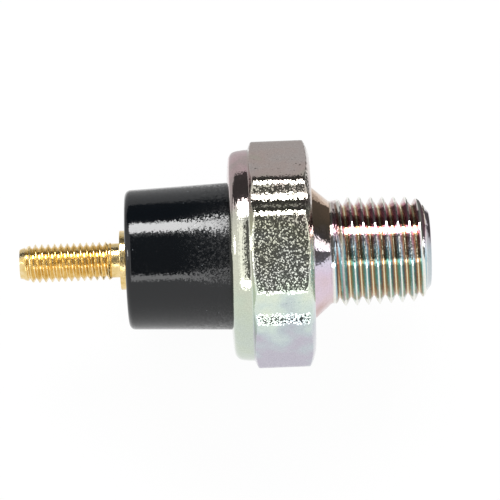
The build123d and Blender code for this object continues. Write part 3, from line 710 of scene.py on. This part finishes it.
# %% Cold rolled steel
steel, tree = fresh("cold_rolled_steel")
ROLL_LINE = 0.12 * MM
OIL_CLOUD = 2.5 * MM
where = add(tree, "ShaderNodeTexCoord").outputs["Object"]
strip = add(tree, "ShaderNodeMapping", {"Vector": where, "Scale": (1.0, 1.0, 0.06)})
roll_lines = add(tree, "ShaderNodeTexNoise",
                 {"Vector": strip, "Scale": 1 / ROLL_LINE, "Detail": 2.0})
oil = add(tree, "ShaderNodeTexNoise", {"Vector": where, "Scale": 1 / OIL_CLOUD, "Detail": 3.0})
grey = add(tree, "ShaderNodeValToRGB", [oil], stops=[
    (0.3, "84868B"), (0.52, "9A9A9C"), (0.75, "A8A49C")])
finish(tree, grey, oil, (0.3, 0.7, 0.28, 0.46), roll_lines, 0.7, 0.015)
print("steel: roll lines", round(ROLL_LINE / MM, 2), "mm apart")

# %% [markdown]
# ### Oil tempered spring steel
# The coil spring, the hinge spring and the pivot pin are hard drawn wire, tempered in oil. The
# temper leaves a dark skin between brown and blue, and the drawing die scratches it bright in
# places, so the colour and the gloss both change over a millimetre or so.

# %% Oil tempered spring steel
spring_steel, tree = fresh("oil_tempered_spring_steel")
TEMPER_CLOUD = 0.8 * MM
PIT = 0.07 * MM
where = add(tree, "ShaderNodeTexCoord").outputs["Object"]
skin_cloud = add(tree, "ShaderNodeTexNoise",
                 {"Vector": where, "Scale": 1 / TEMPER_CLOUD, "Detail": 4.0, "Roughness": 0.6})
temper = add(tree, "ShaderNodeValToRGB", [skin_cloud], stops=[
    (0.3, "4A4C55"), (0.48, "5C5856"), (0.62, "6B6259"), (0.75, "8B8884")])
pits = add(tree, "ShaderNodeTexNoise", {"Vector": where, "Scale": 1 / PIT})
finish(tree, temper, skin_cloud, (0.3, 0.7, 0.42, 0.24), pits, 0.5, 0.008)
print("spring steel: temper skin over", round(TEMPER_CLOUD / MM, 1), "mm")

# %% [markdown]
# ### Rolled phosphor bronze
# The diaphragm, the wiper and the strap are springs too, but of thin bronze strip: redder than
# brass, bright from the rolls, with brown tarnish starting in small patches.

# %% Rolled phosphor bronze
bronze, tree = fresh("rolled_phosphor_bronze")
BRONZE_LINE = 0.09 * MM
TARNISH_PATCH = 1.3 * MM
where = add(tree, "ShaderNodeTexCoord").outputs["Object"]
strip = add(tree, "ShaderNodeMapping", {"Vector": where, "Scale": (1.0, 1.0, 0.08)})
roll_lines = add(tree, "ShaderNodeTexNoise",
                 {"Vector": strip, "Scale": 1 / BRONZE_LINE, "Detail": 2.0})
tarnish = add(tree, "ShaderNodeTexNoise",
              {"Vector": where, "Scale": 1 / TARNISH_PATCH, "Detail": 4.0})
copper = add(tree, "ShaderNodeValToRGB", [tarnish], stops=[
    (0.3, "A8714A"), (0.48, "C98F62"), (0.7, "D8A67C")])
finish(tree, copper, tarnish, (0.3, 0.7, 0.38, 0.2), roll_lines, 0.6, 0.008)
print("bronze: tarnish patches about", round(TARNISH_PATCH / MM, 1), "mm")

# %% [markdown]
# ### Paper laminate
# The resistance card is paper soaked in phenolic and pressed in layers. Its faces show short
# fibres, and its sawn edges show the layers as fine dark lines, 0.1 mm apart.

# %% Paper laminate
laminate, tree = fresh("phenolic_paper_laminate")
LAYER = 0.1 * MM
FIBRE = 0.14 * MM
WAVE_LENGTH = pi / 10  # of Blender's wave pattern at scale 1
where = add(tree, "ShaderNodeTexCoord").outputs["Object"]
laid = add(tree, "ShaderNodeMapping", {"Vector": where, "Scale": (1.0, 1.0, 0.2)})
fibres = add(tree, "ShaderNodeTexNoise", {"Vector": laid, "Scale": 1 / FIBRE, "Detail": 3.0})
layers = add(tree, "ShaderNodeTexWave", {"Vector": where, "Scale": WAVE_LENGTH / LAYER},
             bands_direction="Y")
brown = add(tree, "ShaderNodeValToRGB", [fibres], stops=[
    (0.3, "4A2E1B"), (0.5, "5E3D24"), (0.7, "74502F")])
layer_line = add(tree, "ShaderNodeValToRGB", [layers], stops=[(0.0, "B8B8B8"), (0.4, "FFFFFF")])
lined = add(tree, "ShaderNodeMix", {"Factor": 1.0, "A": brown, "B": layer_line},
            data_type="RGBA", blend_type="MULTIPLY")
finish(tree, lined, fibres, (0.0, 1.0, 0.42, 0.62), fibres, 0.6, 0.012, metallic=0.0)
print("laminate: layers", round(LAYER / MM, 2), "mm")

# %% [markdown]
# ### Resistance wire
# The winding is nickel chromium wire, its oxide skin a dull grey brown. The real turns are about
# 0.05 mm apart, too fine to show, so they are drawn at twice that, as ridges one above the other
# along the card.

# %% Resistance wire
resistance_wire, tree = fresh("oxidised_resistance_wire")
TURN = 0.1 * MM
OXIDE_CLOUD = 0.5 * MM
where = add(tree, "ShaderNodeTexCoord").outputs["Object"]
turns = add(tree, "ShaderNodeTexWave", {"Vector": where, "Scale": WAVE_LENGTH / TURN},
            bands_direction="Z")
oxide = add(tree, "ShaderNodeTexNoise", {"Vector": where, "Scale": 1 / OXIDE_CLOUD, "Detail": 3.0})
skin_colour = add(tree, "ShaderNodeValToRGB", [oxide], stops=[
    (0.3, "857E73"), (0.5, "A09889"), (0.7, "B9B1A0")])
finish(tree, skin_colour, oxide, (0.0, 1.0, 0.28, 0.44), turns, 0.8, 0.02)
print("resistance wire: turns", round(TURN / MM, 2), "mm")

# %% [markdown]
# ### Nitrile rubber
# The two sealing rings are moulded nitrile: nearly black, dull, with a grey bloom in patches and
# the fine tooth of the mould.

# %% Nitrile rubber
rubber, tree = fresh("moulded_nitrile_rubber")
BLOOM_PATCH = 1.8 * MM
TOOTH = 0.1 * MM
where = add(tree, "ShaderNodeTexCoord").outputs["Object"]
bloom = add(tree, "ShaderNodeTexNoise", {"Vector": where, "Scale": 1 / BLOOM_PATCH, "Detail": 4.0})
black = add(tree, "ShaderNodeValToRGB", [bloom], stops=[
    (0.35, "131314"), (0.55, "1B1B1D"), (0.72, "2C2C2E")])
tooth = add(tree, "ShaderNodeTexNoise", {"Vector": where, "Scale": 1 / TOOTH})
finish(tree, black, bloom, (0.0, 1.0, 0.6, 0.82), tooth, 0.6, 0.012, metallic=0.0)
print("rubber: bloom patches about", round(BLOOM_PATCH / MM, 1), "mm")

# %% [markdown]
# ## Dress the imported pieces
# The record names a material slot for every piece of the imported model. One list gives each slot
# its finish, so no piece is left with a plain colour.

# %% Give every slot its finish
finishes = {
    "zinc_plated_steel": zinc,
    "plain_steel": steel,
    "spring_steel": spring_steel,
    "yellow_brass": brass,
    "phosphor_bronze": bronze,
    "black_phenolic": phenolic,
    "brown_laminate": laminate,
    "resistance_wire": resistance_wire,
    "nitrile_rubber": rubber,
}
for subpart in frame["record"]["subparts"]:
    node = frame["nodes"][subpart["node"]]
    for place_in_list in range(len(node.data.materials)):
        node.data.materials[place_in_list] = finishes[subpart["material_slot"]]

# %% [markdown]
# ## The return spring
# A coil spring round the pusher's stem. When oil pressure lifts the pusher, the spring is pressed
# together by as much as the pusher moves, so the imported coil, which is stiff, would be cut by the
# pad. The coil is made here from a spiral with round wire swept along it. Its length and width
# come from the imported coil's box.

# %% The tree that winds a spring
spring_sizes = {
    **dict.fromkeys(["Turns", "Radius", "Length", "Wire", "Start"], "NodeSocketFloat"),
    "Material": "NodeSocketMaterial",
}
winder, given = tree_with_sizes("coil_spring", spring_sizes)
spiral = add(winder, "GeometryNodeCurveSpiral",
             {"Resolution": 40, "Rotations": given["Turns"], "Start Radius": given["Radius"],
              "End Radius": given["Radius"], "Height": given["Length"]})
wire_half = add(winder, "ShaderNodeMath", [given["Wire"], 0.5], operation="MULTIPLY")
round_wire = add(winder, "GeometryNodeCurvePrimitiveCircle", {"Resolution": 14,
                                                              "Radius": wire_half})
swept = add(winder, "GeometryNodeCurveToMesh", {"Curve": spiral, "Profile Curve": round_wire,
                                                "Fill Caps": True})
start_at = add(winder, "ShaderNodeCombineXYZ", {"X": given["Start"]})
laid_down = add(winder, "GeometryNodeTransform",
                {"Geometry": swept, "Translation": start_at, "Rotation": (0.0, pi / 2, 0.0)})
wound = add(winder, "GeometryNodeRealizeInstances", {"Geometry": laid_down})
dressed = add(winder, "GeometryNodeSetMaterial",
              {"Geometry": wound, "Material": given["Material"]})
add(winder, "NodeGroupOutput", [dressed])
print("spring sizes:", len(spring_sizes))

# %% Wind the return spring
WIRE = 0.5 * MM
SPRING_TURNS = 3.5
spring_low, spring_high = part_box("return_spring")
spring_long = spring_high[0] - spring_low[0]
spring_outer = max(abs(spring_low[1]), abs(spring_high[1]), abs(spring_high[2]))
wound = run_tree(winder, "wound_return_spring", {
    "Turns": SPRING_TURNS, "Radius": spring_outer - WIRE / 2, "Length": spring_long - WIRE,
    "Wire": WIRE, "Start": spring_low[0] + WIRE / 2, "Material": spring_steel,
})
wound.shade_smooth()
wound.set_sharp_from_angle(angle=radians(50))
coil = bpy.data.objects.new("wound_return_spring", wound)
bpy.context.scene.collection.objects.link(coil)
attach(coil, "sender_body")
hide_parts("return_spring")
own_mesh(coil)
print("spring:", round(spring_long / MM, 2), "mm long")

# %% [markdown]
# ## Floor
# The photograph's ground is plain white. The floor is white paper, and its material shows plain
# white to the camera and to mirrors, with a little of the real paper left in, which carries the
# shadow under the object.

# %% Floor
SHOWN_WHITE = 0.95


def sheet_of(name, corners, material):
    """A flat sheet that belongs to the stage, not to the object."""
    mesh = bpy.data.meshes.new(name)
    mesh.from_pydata(corners, [], [(0, 1, 2, 3)])
    mesh.materials.append(material)
    made = bpy.data.objects.new(name, mesh)
    bpy.context.scene.collection.objects.link(made)
    return made


def seen_directly(tree):
    """1 where the camera, a mirror or glass looks, 0 where light is only passed on."""
    rays = add(tree, "ShaderNodeLightPath").outputs
    mirrored = add(tree, "ShaderNodeMath", [rays["Is Camera Ray"], rays["Is Glossy Ray"]],
                   operation="MAXIMUM")
    return add(tree, "ShaderNodeMath", [mirrored, rays["Is Transmission Ray"]],
               operation="MAXIMUM")


floor_z = -flat_distance * MM
ground, tree = fresh("white_ground")
share_seen = add(tree, "ShaderNodeMath", [seen_directly(tree), SHOWN_WHITE],
                 operation="MULTIPLY")
paper = add(tree, "ShaderNodeBsdfDiffuse", {"Color": colour("F2F2F2")})
glow = add(tree, "ShaderNodeEmission", {"Color": colour("FFFFFF"), "Strength": 1.0})
mixed = add(tree, "ShaderNodeMixShader", [share_seen, paper, glow])
add(tree, "ShaderNodeOutputMaterial", {"Surface": mixed})
FLOOR_HALF = 1.5
sheet_of("floor", [(x * FLOOR_HALF, y * FLOOR_HALF, floor_z)
                   for x, y in ((-1, -1), (1, -1), (1, 1), (-1, 1))], ground)
print("floor at", round(floor_z / MM, 3), "mm")

# %% [markdown]
# ## What the metal mirrors
# Polished metal shows the room more than it shows itself. The bands in the photograph tell what
# stood around: something dark straight above, where the camera was, brighter ceiling on both
# sides of it, a dark far side, a grey table near by, a window beyond the nose and another beyond
# the terminal. These are flat cards that only reflections see, so they shape the shine and leave
# the light on the object alone. Their sizes are in metres.

# %% Helpers for the cards
CARD_LOW = floor_z + MM
CEILING_TIP = radians(7)
CEILING_DISTANCE = 0.8
CEILING_HALF = 0.5


def overhead(from_x, to_x):
    """Corners of a sheet that faces the object from above, tipped from upright towards +Y."""
    up, off = cos(CEILING_TIP), sin(CEILING_TIP)
    return [(x, off * CEILING_DISTANCE + way * up * CEILING_HALF,
             up * CEILING_DISTANCE - way * off * CEILING_HALF)
            for x, way in ((from_x, -1), (to_x, -1), (to_x, 1), (from_x, 1))]


def lying(from_x, to_x, from_y, to_y):
    """Corners of a sheet just above the floor."""
    return [(from_x, from_y, CARD_LOW), (to_x, from_y, CARD_LOW),
            (to_x, to_y, CARD_LOW), (from_x, to_y, CARD_LOW)]


def standing(x, from_y, to_y, top, low=CARD_LOW):
    """Corners of a sheet that stands across the axis, beyond an end of the object."""
    return [(x, from_y, low), (x, to_y, low), (x, to_y, top), (x, from_y, top)]


def flag(name, brightness, corners):
    """A card that only reflections see. Brightness 1 is white."""
    made, tree = fresh(name)
    shine = add(tree, "ShaderNodeEmission", {"Strength": brightness})
    add(tree, "ShaderNodeOutputMaterial", {"Surface": shine})
    hung = sheet_of(name, corners, made)
    hung.visible_camera = hung.visible_diffuse = hung.visible_shadow = False


# %% Set up the cards
FAR_Y, FAR_TOP = 0.5, 0.26
cards = [
    ("overhead_flag", 0.13, overhead(-0.165, 0.13)),
    ("overhead_left", 1.5, overhead(-0.34, -0.165)),
    ("overhead_right", 1.5, overhead(0.13, 0.34)),
    ("far_flag", 0.06, [(-0.5, FAR_Y, CARD_LOW), (0.5, FAR_Y, CARD_LOW), (0.5, FAR_Y, FAR_TOP),
                        (-0.5, FAR_Y, FAR_TOP)]),
    ("near_flag", 0.61, lying(-0.3, 0.012, 0.015, 0.085)),
    ("table_flag", 0.07, lying(-0.5, 0.012, 0.085, 0.5)),
    ("end_flag", 0.14, lying(0.013, 0.5, 0.008, 0.5)),
    ("end_wall_flag", 0.1, standing(0.5, 0.12, 0.5, 0.3)),
    ("end_window", 3.0, standing(0.5, 0.035, 0.12, 0.34, low=0.0)),
    ("end_post", 0.15, standing(0.5, -0.1, 0.03, 0.25)),
    ("cap_end_window", 12.0, standing(-0.5, 0.035, 0.13, 0.36, low=0.2)),
]
for card in cards:
    flag(*card)
print("cards:", len(cards))

# %% [markdown]
# ## Lamps and world
# Two long soft lamps lie along the object, one on each side of the camera. The strong one draws
# the bright line on the cap and the white bands on the hexagon's edges, the weak one draws their
# faint partners below. The white world fills in the rest, at a level at which a grey card would
# come out about as it is written.

# %% Lamps and world
LAMP_DISTANCE = 0.7
LAMP_LENGTH = 0.5
LAMP_X = -0.01


def lamp(name, degrees_off, height, watts):
    """A long soft lamp over the object, tipped from upright towards +Y."""
    data = bpy.data.lights.new(name, "AREA")
    data.shape = "RECTANGLE"
    data.size, data.size_y = LAMP_LENGTH, height
    data.energy = watts
    made = bpy.data.objects.new(name, data)
    lean = radians(degrees_off)
    made.location = (LAMP_X, sin(lean) * LAMP_DISTANCE, cos(lean) * LAMP_DISTANCE)
    made.rotation_euler = (-lean, 0.0, 0.0)
    bpy.context.scene.collection.objects.link(made)
    print(name, "brightness:", round(watts / (pi * LAMP_LENGTH * height), 1))


lamp("key_strip", degrees_off=52.8, height=0.205, watts=4.9)
lamp("low_strip", degrees_off=-30, height=0.11, watts=0.46)
world = bpy.data.worlds.new("white_room")
bpy.context.scene.world = world
world.use_nodes = True
tree = world.node_tree
tree.nodes.clear()
strength = add(tree, "ShaderNodeMapRange", [seen_directly(tree), 0.0, 1.0, 0.8, 1.0])
sky = add(tree, "ShaderNodeBackground", {"Color": colour("FFFFFF"), "Strength": strength})
add(tree, "ShaderNodeOutputWorld", {"Surface": sky})

# %% [markdown]
# ## Camera
# The photograph looks straight down on the sender with a long lens. Its axis rises a little to
# the right, so the camera is rolled by as much, and the lens is set so that a millimetre of the
# object covers as many pixels as it does in the photograph.

# %% Camera
camera_data = bpy.data.cameras.new("camera")
camera_data.sensor_width = 36.0
camera_data.lens = 239.2
camera_data.clip_start = 0.01
camera = bpy.data.objects.new("camera", camera_data)
camera.location = (-7.71 * MM, 0.66 * MM, 413 * MM)
camera.rotation_euler = (0.0, 0.0, radians(-2.22))
bpy.context.scene.collection.objects.link(camera)
bpy.context.scene.camera = camera
bpy.context.scene.view_settings.view_transform = "Standard"
print("camera is", round(camera.location.z / MM), "mm above the object's axis")
